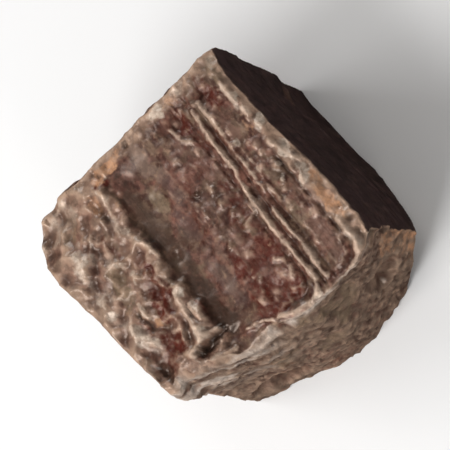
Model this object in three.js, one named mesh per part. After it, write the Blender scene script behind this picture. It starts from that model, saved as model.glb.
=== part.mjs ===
// Zircon crystal: a stubby four-sided prism, broken at both ends, lying on one of its prism faces.
// Millimetres, +Z up. +X runs along the crystal's own long axis, which is also the way its
// striations run. The striated face is on top, and the origin is under the middle of its box.
//
// The shape is worked out about the middle of the striated face, where z is 0 and goes down into
// the crystal. Each of the six faces is a height over its own plane. A lattice of points is laid
// over the six faces so that its border lines are the crystal's edges, then chips are taken out.
import * as THREE from 'three';

// Driving dimensions
const depth = 16;                         // striated face down to the face it lies on
const rim = { x: [-9.1, 10.8], y: [-10.4, 9.4], z: [-depth, 0] };
const core = { x: [-7, 5.5], y: [-9, 8.2], z: [1.5 - depth, -1.5] };   // straight lattice lines
const toOrigin = { x: -0.605, y: 0.528, z: depth };
const crystalColour = 0x765a4f;

// Outlines, as points of [along, out]
const endAtTop = [[-10.9, 6.1], [-9.7, 6.5], [-8, 6.9], [-7, 7.3], [-5.5, 8.3], [-4, 8.9], [-2, 9.1],
  [-0.7, 9.4], [0.6, 10.1], [1.3, 10.5], [2.7, 10.8], [7.8, 10.8], [8.8, 10.4], [9.5, 9.7]];
const endAtBase = [[-11.2, 5.9], [-10.5, 6.4], [-9.3, 8.35], [-7.5, 8.95], [-5.8, 9.4], [-2.8, 10.6],
  [0.7, 11.05], [1.8, 10.95], [2.8, 10.55], [4.4, 10.2], [5.5, 10.05], [7.5, 9.7], [9.5, 8.8]];
const nearAtTop = [[-9.4, -9.4], [-8.4, -10.6], [-7.2, -11.15], [-3, -11.1], [0, -10.75], [5, -10.25],
  [8, -10.15]];
const farAtTop = [[-9.2, 9.4], [-6, 9.15], [-3, 9.25], [-1, 9.4], [2, 9.7], [5, 9.9], [8, 9.9], [10, 9.5]];

// The striated face: its trough, the rough band past the trough, a low lobe in one corner, a notched
// corner, and two rims that fall away. A pair of places is where a slope starts and where it ends
const trough = { slope: [1.4, -2.1], wall: [-3.3, -4.3], deep: 0.75, shallow: 0.35, runsOut: [-6.2, -8.6] };
const band = { start: 0.15, fall: 0.12, lump: 0.34, cell: 1.5 };
const lobe = { x: [-5, -7.6], y: [-5, -8.4], drop: 1.2 };
const notch = { x: [6.9, 7.9], y: [-1, -2.6], drop: 0.8 };
const backRim = { x: [-7.3, -8.8], drop: 0.35 };
const farRim = { y: [8.4, 9.6], drop: 0.4 };
const striae = { high: 0.06, cell: 0.7, drawnOut: 0.3 };

// The end that shows: how far it has stepped out from the top outline to the base outline at each
// ledge, the nose beside its near edge, and its grain
const ledges = [
  { z: [-0.3, -1.4], share: 0.5 },
  { z: [-2.2, -3.6], share: 0.25 },
  { z: [-6, -13], share: 0.25 },
];
const nose = { out: 1.3, z: -3, reach: 2.6, y: [-8.6, -10.2] };
const endGrain = { high: 0.3, cell: 1.8, z: [-0.6, -3] };

// The end behind: it slants in under a step that runs down across it
const backSlant = { z: [-5, -depth], deep: 0.5 };
const backStep = { z: -7, lean: 0.45, soft: 0.4, high: 0.7, under: [0, -3] };
const backGrain = { high: 0.22, cell: 2.1 };

// Growth steps along the two prism faces: each leans along the crystal, and may fade to less
const farSteps = [
  { z: [-4.6, -4.9], lean: 0.03, high: 0.2 },
  { z: [-10.8, -11.2], lean: -0.04, high: 0.6, fades: [3, 8], least: 0.1 },
];
const nearSteps = [
  { z: [-5.2, -5.6], lean: -0.05, high: 0.35 },
  { z: [-11.6, -12], lean: 0.04, high: 0.3 },
];
const farBelly = { z: [0, -3], out: 0.25 };
const farGrain = { high: 0.05, cell: 0.9, drawnOut: 0.25 };
const nearGrain = { high: 0.12, cell: 1.2, drawnOut: 0.3 };

// Narrow forms on the striated face: a line of points, its height (a groove is below 0) and width
const lines = [
  { path: [[-6.45, 5.45], [-4.15, 5.15], [-1.15, 5.1], [0.55, 4.7], [2.4, 4.56], [5.55, 4.4], [7.15, 4.5],
    [9.65, 4.45], [10.45, 4], [10.65, 2.9], [10.25, 1.5], [9.55, 0.4]], high: 0.24, wide: 0.2 },
  { path: [[3.45, 5.45], [5.55, 5.5], [8.05, 5.4], [9.75, 5.3]], high: 0.24, wide: 0.2 },
  { path: [[0.85, 5], [2.85, 4.95], [6.45, 4.92], [10.15, 4.9]], high: -0.25, wide: 0.18 },
  { path: [[-5.15, 5.7], [-2.95, 5.6], [-0.45, 5.5], [0.85, 5.3]], high: -0.22, wide: 0.18 },
  { path: [[-6.65, 6.1], [-2.65, 5.95], [-0.55, 5.85]], high: 0.15, wide: 0.2 },
  { path: [[2.65, 5.95], [7.45, 6], [10.05, 5.9]], high: -0.22, wide: 0.2 },
  { path: [[-6.25, 8.4], [-3.25, 8.55]], high: 0.22, wide: 0.25 },
  { path: [[0.85, 8.1], [6.55, 8.15], [9.25, 8.2], [9.95, 7.7], [10.25, 6.9]], high: -0.16, wide: 0.22 },
  { path: [[7.35, 8.65], [9.25, 8.65], [10.55, 8.1], [10.85, 7]], high: 0.15, wide: 0.22 },
  { path: [[7.6, -3], [7.45, -4.4], [7.3, -5.8]], high: -0.5, wide: 0.4 },
  { path: [[3.6, -4], [5.45, -4.9], [6.2, -5.1]], high: 0.3, wide: 0.35 },
  { path: [[6.2, -5.1], [6.55, -4.2], [6.75, -3.3]], high: 0.3, wide: 0.35 },
  { path: [[6.2, -5.1], [6.7, -5.8], [6.95, -6.4]], high: 0.3, wide: 0.35 },
  { path: [[-7.35, -4], [-5.45, -4.4], [-3.25, -4.9], [-2.25, -4.2], [-0.45, -3.9], [0.45, -4.4]],
    high: 0.2, wide: 0.35 },
  { path: [[1.05, -7.4], [2.15, -7.3], [2.75, -6.8]], high: 0.3, wide: 0.4 },
  { path: [[1.35, -7.9], [3.25, -7.7]], high: -0.3, wide: 0.35 },
];

// Round forms on it: [x, y, height, radius], a pit being below 0
const rounds = [
  [-6.55, 4, -0.45, 0.8], [-5.3, 3.4, 0.2, 0.5], [8.05, 1.7, -0.4, 1], [7.3, 3.4, 0.2, 0.5],
  [9.15, 2.4, -0.25, 0.5], [-6.65, 7.1, -0.3, 0.8], [-0.85, 2.9, 0.22, 0.5], [0.35, 2.65, 0.28, 0.5],
  [1.35, 3, 0.26, 0.5], [2.95, 3, 0.24, 0.5], [-1.65, 1.6, 0.2, 0.45], [3.15, 0.95, 0.2, 0.45],
  [2.65, -4.4, 0.25, 0.5], [6.25, -9, -0.8, 0.8], [-5.4, -5.4, -0.35, 0.8], [-1.85, -6.4, 0.35, 0.6],
  [-0.3, -5.7, 0.35, 0.6], [-3.75, -8.8, 0.3, 0.9], [3.15, -6.6, 0.3, 0.5],
];

// Flat breaks: everything beyond the plane through three points is shaved back to it
const breaks = [
  [[8.6, 9.5, -11.4], [10, 4.9, -depth], [2.9, 8.75, -depth]],
  [[-9.1, 8.9, -4], [-9.1, 5.6, -depth], [-6.4, 9.4, -depth]],
  [[-9.2, -6, -depth], [-9.2, -10, -9], [-4, -10.8, -depth]],
];

// Shell-like scoops: the middle of a ball outside the crystal, its radius, and the way it bites
const scoops = [
  [[-12.9, 2.4, -9.5], 5.2, [1, 0, 0.1]],
  [[-11.4, -5.6, -5.2], 3.2, [1, 0.2, 0]],
  [[-11.6, 7.4, -14.6], 3.6, [1, -0.4, 0.4]],
  [[13.6, 6.6, -9.2], 4.2, [-1, -0.1, 0.1]],
  [[11.6, -6.2, -12.4], 3.4, [-1, 0.2, 0.1]],
  [[9.3, -11.55, -10.3], 3.2, [-0.7, 0.7, 0]],
  [[1.6, -12.2, -17], 2.6, [0, 1, 0.7]],
  [[-3.6, -12.9, -6.8], 2.9, [0.2, 1, 0]],
  [[3.4, 11.8, -17.2], 3, [0, -1, 0.8]],
  [[-4.2, 12.6, -10.4], 3.6, [0.1, -1, 0]],
];

// Lattice lines. Those across the crystal crowd together where the ridges and grooves run
const settleTurns = 5;
const linesX = evenly(...rim.x, 33);
const linesY = [...evenly(rim.y[0], -4.7, 8), ...evenly(-4.3, -3.3, 2), -2.6, -1.9, -1, -0.1, 0.8, 1.7,
  2.5, 3.2, 3.8, ...evenly(4.2, 6.2, 9), 6.7, 7.4, 7.9, 8.25, 8.7, rim.y[1]];
const linesZ = evenly(...rim.z, 16);

const clamp = (value) => Math.min(1, Math.max(0, value));
const mix = (a, b, share) => a + (b - a) * share;

function evenly(from, to, count) {
  return Array.from({ length: count + 1 }, (_, i) => from + ((to - from) * i) / count);
}

// 0 before the first value and 1 past the second, eased in between
function rise([from, to], value) {
  const share = clamp((value - from) / (to - from));
  return share * share * (3 - 2 * share);
}

// A bell curve: 1 in the middle, falling away over the reach
function bell(away, reach) {
  return Math.exp(-((away / reach) ** 2));
}

// The height of a broken line over a place along it
function follow(points, along) {
  const last = points.length - 1;
  if (along <= points[0][0]) return points[0][1];
  for (let i = 0; i < last; i += 1) {
    const [a, b] = [points[i], points[i + 1]];
    if (along <= b[0]) return mix(a[1], b[1], (along - a[0]) / (b[0] - a[0]));
  }
  return points[last][1];
}

// The distance from a place on a face to a broken line on it
function toLine(path, x, y) {
  let nearest = Infinity;
  for (let i = 0; i < path.length - 1; i += 1) {
    const [[ax, ay], [bx, by]] = [path[i], path[i + 1]];
    const [dx, dy] = [bx - ax, by - ay];
    const share = clamp(((x - ax) * dx + (y - ay) * dy) / (dx * dx + dy * dy));
    nearest = Math.min(nearest, Math.hypot(x - ax - share * dx, y - ay - share * dy));
  }
  return nearest;
}

// A number from 0 to 1 that belongs to one cell of a grid
function chance(i, j, seed) {
  const wave = Math.sin(i * 12.9898 + j * 78.233 + seed * 37.719) * 43758.5453;
  return wave - Math.floor(wave);
}

// Granular relief from -1 to 1: each cell of a jittered grid is one small plane with its own tilt
function facets(x, y, cell, seed) {
  const [column, row] = [Math.floor(x / cell), Math.floor(y / cell)];
  let nearest = Infinity;
  let height = 0;
  for (let i = column - 1; i <= column + 1; i += 1) {
    for (let j = row - 1; j <= row + 1; j += 1) {
      const dx = x / cell - i - chance(i, j, seed);
      const dy = y / cell - j - chance(i, j, seed + 1);
      if (Math.hypot(dx, dy) < nearest) {
        nearest = Math.hypot(dx, dy);
        const tilt = (chance(i, j, seed + 2) - 0.5) * dx + (chance(i, j, seed + 3) - 0.5) * dy;
        height = chance(i, j, seed + 4) - 0.5 + 1.6 * tilt;
      }
    }
  }
  return height;
}

// The narrow forms: the highest ridge over a place, and the deepest groove under it
function lineRelief(x, y) {
  let ridge = 0;
  let groove = 0;
  for (const { path, high, wide } of lines) {
    const lift = high * bell(toLine(path, x, y), wide);
    ridge = Math.max(ridge, lift);
    groove = Math.min(groove, lift);
  }
  return ridge + groove;
}

function roundRelief(x, y) {
  const lift = ([cx, cy, high, radius]) => high * bell(Math.hypot(x - cx, y - cy), radius);
  return rounds.reduce((sum, form) => sum + lift(form), 0);
}

// The striated face: a level middle panel, a slope into the trough, the trough's wall up to the rough
// band, the low lobe and notch, rims that fall away, and the narrow and round forms on top
function topFace(x, y) {
  const bandLevel = -band.start - band.fall * (trough.wall[1] - y) + band.lump * facets(x, y, band.cell, 3);
  const deep = mix(trough.deep, trough.shallow * trough.deep, rise(trough.runsOut, x));
  let z = mix(-deep * rise(trough.slope, y), bandLevel, rise(trough.wall, y));
  z -= lobe.drop * rise(lobe.x, x) * rise(lobe.y, y);
  z -= notch.drop * rise(notch.x, x) * rise(notch.y, y);
  z -= backRim.drop * rise(backRim.x, x);
  z -= farRim.drop * rise(farRim.y, y);
  z += striae.high * facets(x * striae.drawnOut, y, striae.cell, 11);
  return z + lineRelief(x, y) + roundRelief(x, y);
}

// The rough end that shows: it steps out in ledges under the top edge and is grainy lower down
function endFace(y, z) {
  const out = ledges.reduce((sum, ledge) => sum + ledge.share * rise(ledge.z, z), 0);
  const swell = nose.out * bell(z - nose.z, nose.reach) * rise(nose.y, y);
  const grain = endGrain.high * facets(y, z, endGrain.cell, 21) * rise(endGrain.z, z);
  return mix(follow(endAtTop, y), follow(endAtBase, y), out) + swell + grain;
}

// The broken end behind: a slanting fracture with a step across it
function backFace(y, z) {
  const step = rise([-backStep.soft, backStep.soft], z - backStep.z + backStep.lean * y);
  const slant = backSlant.deep * rise(backSlant.z, z);
  const grain = backGrain.high * facets(y, z, backGrain.cell, 31);
  return rim.x[0] + slant - backStep.high * step * rise(backStep.under, z) + grain;
}

function growthSteps(steps, x, z) {
  return steps.reduce((sum, { z: ends, lean, high, fades, least }) => {
    const tall = fades ? mix(high, least, rise(fades, x)) : high;
    return sum + tall * rise(ends, z + lean * x);
  }, 0);
}

// The smooth dark prism face, which bellies out a little under its top edge
function farFace(x, z) {
  const grain = farGrain.high * facets(x * farGrain.drawnOut, z, farGrain.cell, 41);
  return follow(farAtTop, x) + farBelly.out * rise(farBelly.z, z) - growthSteps(farSteps, x, z) + grain;
}

// The opposite prism face, with its own growth steps
function nearFace(x, z) {
  const grain = nearGrain.high * facets(x * nearGrain.drawnOut, z, nearGrain.cell, 51);
  return follow(nearAtTop, x) + growthSteps(nearSteps, x, z) - grain;
}

// A lattice line stays put in the core, and past it stretches so that the rim lands on the face
function stretch(line, [coreLow, coreHigh], [rimLow, rimHigh], low, high) {
  if (line > coreHigh) return coreHigh + ((line - coreHigh) * (high - coreHigh)) / (rimHigh - coreHigh);
  if (line < coreLow) return coreLow + ((line - coreLow) * (low - coreLow)) / (rimLow - coreLow);
  return line;
}

// A lattice point's place, settled by turns along the three axes
function settle(lineX, lineY, lineZ) {
  const p = new THREE.Vector3(lineX, lineY, lineZ);
  for (let turn = 0; turn < settleTurns; turn += 1) {
    p.z = stretch(lineZ, core.z, rim.z, -depth, topFace(p.x, p.y));
    p.x = stretch(lineX, core.x, rim.x, backFace(p.y, p.z), endFace(p.y, p.z));
    p.y = stretch(lineY, core.y, rim.y, nearFace(p.x, p.z), farFace(p.x, p.z));
  }
  if (lineZ === rim.z[1]) p.z = topFace(p.x, p.y);
  return p;
}

function shave(p, plane) {
  const over = plane.distanceToPoint(p);
  if (over > 0) p.addScaledVector(plane.normal, -over);
}

// A point inside the ball slides along the bite's direction to the ball's far side
function bite(p, middle, radius, into) {
  const from = p.clone().sub(middle);
  const inside = radius ** 2 - from.lengthSq();
  if (inside <= 0) return;
  const along = from.dot(into);
  p.addScaledVector(into, Math.sqrt(along ** 2 + inside) - along);
}

function breakPlane(corners) {
  const plane = new THREE.Plane().setFromCoplanarPoints(...corners.map((c) => new THREE.Vector3(...c)));
  return plane.distanceToPoint(new THREE.Vector3(0, 0, -depth / 2)) > 0 ? plane.negate() : plane;
}

// A closed skin over the lattice's six sides, each edge point shared by the sides that meet there
function crystalSkin() {
  const planes = breaks.map(breakPlane);
  const balls = scoops.map(([middle, radius, into]) => [
    new THREE.Vector3(...middle), radius, new THREE.Vector3(...into).normalize()]);
  const places = [];
  const numbers = new Map();
  const triangles = [];

  function pointAt(i, j, k) {
    const key = `${i},${j},${k}`;
    if (!numbers.has(key)) {
      const p = settle(linesX[i], linesY[j], linesZ[k]);
      planes.forEach((plane) => shave(p, plane));
      balls.forEach((ball) => bite(p, ...ball));
      p.z = Math.max(p.z, -depth);
      numbers.set(key, places.length / 3);
      places.push(p.x + toOrigin.x, p.y + toOrigin.y, p.z + toOrigin.z);
    }
    return numbers.get(key);
  }

  function side(countA, countB, cornerAt, outward) {
    for (let a = 0; a < countA; a += 1) {
      for (let b = 0; b < countB; b += 1) {
        const ring = [cornerAt(a, b), cornerAt(a + 1, b), cornerAt(a + 1, b + 1), cornerAt(a, b + 1)];
        const [p, q, r, s] = outward ? ring : ring.reverse();
        triangles.push(p, q, r, p, r, s);
      }
    }
  }

  const [nx, ny, nz] = [linesX.length - 1, linesY.length - 1, linesZ.length - 1];
  side(nx, ny, (a, b) => pointAt(a, b, nz), true);
  side(nx, ny, (a, b) => pointAt(a, b, 0), false);
  side(ny, nz, (a, b) => pointAt(nx, a, b), true);
  side(ny, nz, (a, b) => pointAt(0, a, b), false);
  side(nx, nz, (a, b) => pointAt(a, 0, b), true);
  side(nx, nz, (a, b) => pointAt(a, ny, b), false);

  const geometry = new THREE.BufferGeometry();
  geometry.setAttribute('position', new THREE.Float32BufferAttribute(places, 3));
  geometry.setIndex(triangles);
  geometry.computeVertexNormals();
  return geometry;
}

const material = new THREE.MeshStandardMaterial({ color: crystalColour, roughness: 0.35, metalness: 0 });
const crystal = new THREE.Mesh(crystalSkin(), material);
crystal.name = 'zircon_crystal';

const part = new THREE.Group();
part.add(crystal);

export default part;
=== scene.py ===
import bpy
import numpy as np
from mathutils import Matrix, Vector


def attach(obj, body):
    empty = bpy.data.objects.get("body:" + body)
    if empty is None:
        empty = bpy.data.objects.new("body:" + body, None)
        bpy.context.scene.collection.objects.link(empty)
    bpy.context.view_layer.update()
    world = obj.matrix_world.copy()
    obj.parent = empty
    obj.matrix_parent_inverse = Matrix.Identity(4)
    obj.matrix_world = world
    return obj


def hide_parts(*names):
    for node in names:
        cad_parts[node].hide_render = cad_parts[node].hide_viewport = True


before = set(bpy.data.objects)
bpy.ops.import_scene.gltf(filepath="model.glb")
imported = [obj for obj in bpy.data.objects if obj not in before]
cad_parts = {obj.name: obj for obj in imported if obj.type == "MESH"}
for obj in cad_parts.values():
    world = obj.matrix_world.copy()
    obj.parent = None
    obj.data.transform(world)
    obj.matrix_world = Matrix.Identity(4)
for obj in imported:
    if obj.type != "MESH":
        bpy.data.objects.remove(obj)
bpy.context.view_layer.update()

mm = 0.001  # in metres

# The block and its lattice, in mm about the middle of the striated face, z down into the crystal
block = {
    "depth": 16.0,
    "rimX": (-9.1, 10.8), "rimY": (-10.4, 9.4), "rimZ": (-16.0, 0.0),
    "coreX": (-7.0, 5.5), "coreY": (-9.0, 8.2), "coreZ": (-14.5, -4.0),  # straight lattice lines
    "toOrigin": (-0.605, 0.528, 16.0),
    "countX": 164, "countZ": 80, "settleTurns": 5,
    # rows of the lattice across the crystal, closer where the ridges run: (from, to, rows)
    "rowBands": [(-10.4, 3.6, 90), (3.6, 6.0, 30), (6.0, 8.6, 20), (8.6, 9.4, 8)],
    # outlines, as (along, out)
    "endAtTop": [
        (-10.9, 6.1), (-9.7, 6.5), (-8, 6.9), (-7, 7.3), (-5.5, 8.3), (-4, 8.9), (-2, 9.1),
        (-0.7, 9.4), (0.6, 10.1), (1.3, 10.5), (2.7, 10.8), (7.8, 10.8), (8.8, 10.4), (9.5, 9.7),
    ],
    "endAtBase": [
        (-11.2, 5.9), (-10.5, 6.4), (-9.3, 8.35), (-7.5, 8.95), (-5.8, 9.4), (-2.8, 10.6),
        (0.7, 11.05), (1.8, 10.95), (2.8, 10.55), (4.4, 10.2), (5.5, 10.05), (7.5, 9.7), (9.5, 8.8),
    ],
    "nearAtTop": [
        (-9.4, -9.4), (-8.4, -10.6), (-7.2, -11.15), (-3, -11.1), (0, -10.75), (5, -10.25),
        (8, -10.15),
    ],
    "farAtTop": [
        (-9.2, 9.4), (-6, 9.15), (-3, 9.25), (-1, 9.4), (2, 9.7), (5, 9.9), (8, 9.9), (10, 9.5),
    ],
}

# The striated face, in mm: its trough, its rough band, the parts that fall away (each with the pair
# of places where it starts and ends), and the narrow and round forms on it
striated = {
    "troughTop": 1.4, "troughFoot": -2.1, "troughFloor": -3.3, "troughWall": -4.3,
    "troughDeep": 0.75, "troughRunsOut": (-8.6, -6.2), "troughLeast": 0.35,  # its share left there
    "bandStart": 0.15, "bandFall": 0.12, "bandLump": 0.6, "bandCell": 1.1,
    "lobeX": (-5, -7.6), "lobeY": (-5, -8.4), "lobeDrop": 1.2,
    "backRim": (-7.3, -8.8), "backRimDrop": 0.35, "farRim": (8.4, 9.6), "farRimDrop": 0.4,
    "notchX": (7.1, 7.7), "notchY": (-1.8, -3.4), "notchDrop": 0.35,
    "farBorder": (8.0, 8.5), "backBorder": (-7.6, -8.2), "borderLump": 0.22,
    "warp": 0.18, "warpCell": 0.9, "beadHigh": 0.17, "knobHigh": 0.09,
    "slot": [(7.1, -3.5), (7.0, -4.6), (7.15, -6)], "slotDeep": 0.65, "slotWide": 0.36,
    # (points along it, height, width, how strong its crest's painted highlight or its bed's painted
    # shade), a groove below 0
    "lines": [
        ([(-6.45, 5.45), (-4.15, 5.15), (-1.15, 5.1), (0.55, 4.7), (2.4, 4.56), (5.55, 4.4),
          (7.15, 4.5), (9.45, 4.4), (10.25, 3.95), (10.45, 2.9), (10.15, 1.5),
          (9.45, 0.4)], 0.22, 0.18, 1),
        ([(3.45, 5.35), (4.45, 5.28), (5.55, 5.35), (8.05, 5.3), (9.75, 5.2)], 0.2, 0.17, 1),
        ([(0.85, 5.1), (2.85, 4.95), (6.45, 4.9), (10.15, 4.82)], -0.12, 0.11, 0.8),
        ([(2.65, 3.95), (5.35, 3.9), (9.25, 3.85)], -0.08, 0.2, 0.5),
        ([(-5.15, 5.68), (-2.95, 5.58), (-0.45, 5.45), (0.85, 5.3), (3.25, 5.1)], -0.12, 0.13, 0.7),
        ([(-6.65, 6.15), (-4.75, 6.1), (-2.65, 6), (-0.55, 5.85), (1.2, 5.75)], 0.14, 0.18, 0.9),
        ([(-3.55, 6.55), (-0.75, 6.4), (2.45, 6.25)], 0.06, 0.12, 0.5),
        ([(2.65, 5.85), (4.85, 5.95), (7.45, 5.9), (10.05, 5.8)], -0.14, 0.2, 0.8),
        ([(4.45, 6.55), (7.25, 6.5), (9.65, 6.4)], 0.05, 0.12, 0.3),
        ([(4.05, 7.4), (7.25, 7.35), (9.05, 7.15)], 0.04, 0.12, 0.25),
        ([(-6.25, 8.4), (-4.75, 8.45), (-3.25, 8.55)], 0.26, 0.24, 1),
        ([(-0.55, 8.4), (0.75, 8.95), (1.95, 9.3)], 0.16, 0.17, 0.9),
        ([(2.65, 8.8), (3.35, 8.5), (3.85, 8.1)], 0.15, 0.17, 0.9),
        ([(0.85, 8.1), (6.55, 8.15), (9.25, 8.2), (9.95, 7.7), (10.25, 6.9),
          (10.15, 6.1)], -0.13, 0.14, 0.7),
        ([(7.35, 8.65), (9.25, 8.65), (10.45, 8.1), (10.7, 7)], 0.18, 0.24, 0.9),
        ([(8.45, 7.7), (9.55, 7.4), (9.85, 6.7)], 0.06, 0.12, 0.3),
        ([(6.15, 2.95), (6.65, 3.5), (7.45, 3.5), (8.15, 3.2)], 0.13, 0.17, 0.6),
        ([(8.15, 2.2), (8.75, 2.7), (9.15, 3.5)], 0.12, 0.15, 0.4),
        ([(9.45, 1.4), (9.7, 2.6), (9.45, 3.5), (8.85, 3.9), (6.85, 4.05)], -0.16, 0.15, 0.8),
        ([(2.4, 4.57), (2.55, 3.8), (2.75, 3.1)], 0.12, 0.15, 0.5),
        ([(-6.55, 3.2), (-5.35, 3.3), (-4.75, 3.9)], 0.13, 0.16, 0.7),
        ([(-6.15, 4.6), (-3.75, 4.45), (-0.55, 4.5)], -0.06, 0.18, 0.4),
        ([(-7.35, -4), (-5.45, -4.4), (-3.25, -5.1)], 0.12, 0.2, 0.5),
        ([(-3.15, -4.4), (-2.25, -4.1), (-1.25, -3.65), (-0.45, -3.75),
          (0.25, -4.3)], 0.14, 0.17, 0.8),
        ([(-6.35, -5.1), (-5.45, -4.9), (-4.75, -5.1)], -0.16, 0.3, 0.8),
        ([(-5.35, -6.4), (-4.45, -7.5), (-2.95, -8.2)], -0.14, 0.15, 0.7),
        ([(-5.35, -6.8), (-4.55, -7.5), (-3.55, -8)], 0.1, 0.17, 0.6),
        ([(2.15, -3.4), (2.65, -4.46), (3.15, -5)], 0.2, 0.17, 0.9),
        ([(2.55, -4.6), (3.6, -4.85), (4.6, -5), (6.2, -5.1)], 0.3, 0.2, 1),
        ([(6.2, -5.1), (6.5, -4.4), (6.8, -3.6)], 0.3, 0.2, 1),
        ([(6.2, -5.1), (6.6, -5.8), (6.85, -6.5)], 0.3, 0.2, 1),
        ([(3.9, -4.3), (5.6, -4.1)], 0.22, 0.2, 0.8),
        ([(4.2, -4.65), (5.4, -4.55)], -0.12, 0.12, 0.8),
        ([(4.75, -5.5), (5.85, -5.9)], -0.2, 0.22, 0.9),
        ([(-0.15, -4.6), (0.35, -5.3), (0.95, -5.8)], -0.1, 0.25, 0.4),
        ([(1.05, -7.4), (2.15, -7.3), (2.75, -6.8)], 0.14, 0.14, 0.9),
        ([(1.35, -7.9), (2.15, -7.85), (3.25, -7.7)], -0.16, 0.14, 0.9),
        ([(3.45, -7.8), (4.25, -7), (4.55, -6.1)], 0.1, 0.15, 0.4),
        ([(-8.85, -8.9), (-9, -8), (-8.9, -7.15)], 0.1, 0.18, 0.9),
        ([(-7.35, -9.7), (-7.05, -9.1), (-7.35, -8.5)], 0.1, 0.18, 0.7),
        ([(-8.05, -8.6), (-7.65, -7.4), (-7.35, -6.7)], -0.1, 0.16, 0.7),
        ([(9.25, -0.1), (8.65, -1), (8.25, -2.2)], 0.12, 0.17, 0.7),
        ([(7.75, -7), (8.15, -5.4), (8.65, -3.8)], 0.12, 0.17, 0.6),
    ],
    "rounds": [  # (x, y, height, radius), a pit being below 0
        (-6.55, 4, -0.45, 0.7), (8.05, 1.7, -0.4, 1.0), (9.15, 2.4, -0.25, 0.4),
        (-6.65, 7.1, -0.3, 0.7), (-0.85, 2.9, 0.22, 0.3), (0.35, 2.65, 0.3, 0.35),
        (1.35, 3, 0.28, 0.35), (2.95, 3, 0.26, 0.3), (-1.65, 1.6, 0.32, 0.2),
        (-1.6, 1.4, -0.16, 0.45), (-0.1, 1.25, 0.26, 0.22), (3.15, 0.95, 0.3, 0.22),
        (8.55, -1.5, 0.22, 0.22), (-2.25, 6.3, 0.35, 0.28), (1.25, 7.75, 0.3, 0.2),
        (2.15, 7.45, 0.32, 0.22), (1.55, 5.95, 0.26, 0.3), (-4.85, 6.5, 0.25, 0.35),
        (-2.15, 8.7, 0.3, 0.35), (1.45, 9, 0.3, 0.4), (3.25, 8.6, 0.25, 0.35),
        (7.35, 9.15, 0.25, 0.25), (9.15, 3.4, 0.22, 0.2), (-6.35, -0.1, -0.1, 0.8),
        (-3.55, -1, -0.12, 0.8), (-0.55, -0.7, -0.1, 1.0), (4.65, -1, 0.08, 1.0),
        (6.15, -5.1, 0.25, 0.5), (6.25, -9, -0.8, 0.8), (-1.85, -6.4, 0.35, 0.3),
        (-0.45, -6.2, 0.35, 0.35), (-0.15, -5.3, 0.3, 0.3), (-3.75, -8.8, 0.3, 0.8),
        (3.15, -6.6, 0.3, 0.4), (3.45, -8.5, 0.3, 0.5), (-4.55, -8.7, 0.25, 0.6),
        (-3.3, -9.25, 0.4, 0.55), (-1.3, -9.5, 0.35, 0.5), (0.3, -9.3, 0.3, 0.45),
        (2.5, -9.05, 0.35, 0.5), (-7.2, -8.2, 0.3, 0.9), (-7.9, -6.6, 0.25, 0.7),
        (-8.45, 3.1, 0.2, 0.6), (-8.35, -0.2, -0.25, 0.3), (-8.15, -2.9, 0.25, 0.3),
        (0.45, -2.9, -0.2, 0.4),
    ],
}

# The rough end that shows, in mm: ledges as (from, to, share of the way out), the nose on its edge,
# its small slanting teeth, its grain and its knobs
roughEnd = {
    "ledges": [(-0.3, -1.4, 0.5), (-2.2, -3.6, 0.25), (-6, -13, 0.25)],
    "noseOut": 1.3, "noseZ": -3, "noseReach": 2.6, "noseY": (-8.6, -10.2),
    "toothHigh": 0.13, "toothApart": 0.85, "toothLean": 0.28,
    "grainHigh": 0.24, "fineGrainHigh": 0.12, "knobHigh": 0.12, "fineKnobHigh": 0.08,
}

# The broken end behind, in mm: how far it slants in, and the step across it
brokenEnd = {
    "slantFrom": -5, "slant": 0.5, "stepZ": -7, "stepLean": 0.45, "stepHigh": 0.7,
    "hackleHigh": 0.38, "fineHackleHigh": 0.15,
}

# Growth steps on the two dark prism faces: (from, to, lean, height, height further along)
growth = {
    "far": [(-4.6, -4.9, 0.03, 0.2, 0.2), (-10.8, -11.2, -0.04, 0.6, 0.1)],
    "near": [(-5.2, -5.6, -0.05, 0.35, 0.35), (-11.6, -12.0, 0.04, 0.3, 0.3)],
    "furtherAlong": (3, 8),
}

# Breaks, each a plane through three points, scoops as (ball middle, radius, way in), their
# ripples, and the grit over it all. In mm, but for the ball's unevenness, a share of it
broken = {
    "ballUneven": 0.18, "rippleHigh": 0.035, "rippleApart": 0.8,
    "gritHigh": 0.02, "dustHigh": 0.008,
    "breaks": [
        ((8.6, 9.5, -11.4), (10, 4.9, -16), (2.9, 8.75, -16)),
        ((-9.1, 8.9, -4), (-9.1, 5.6, -16), (-6.4, 9.4, -16)),
        ((-9.2, -6, -16), (-9.2, -10, -9), (-4, -10.8, -16)),
    ],
    "scoops": [
        ((-12.9, 2.4, -9.5), 5.2, (1, 0, 0.1)),
        ((-11.4, -5.6, -5.2), 3.2, (1, 0.2, 0)),
        ((-11.6, 7.4, -14.6), 3.6, (1, -0.4, 0.4)),
        ((13.6, 6.6, -9.2), 4.2, (-1, -0.1, 0.1)),
        ((11.6, -6.2, -12.4), 3.4, (-1, 0.2, 0.1)),
        ((9.3, -11.55, -10.3), 3.2, (-0.7, 0.7, 0)),
        ((1.6, -12.2, -17), 2.6, (0, 1, 0.7)),
        ((-3.6, -12.9, -6.8), 2.9, (0.2, 1, 0)),
        ((3.4, 11.8, -17.2), 3.0, (0, -1, 0.8)),
        ((-4.2, 12.6, -10.4), 3.6, (0.1, -1, 0)),
    ],
}

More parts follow.
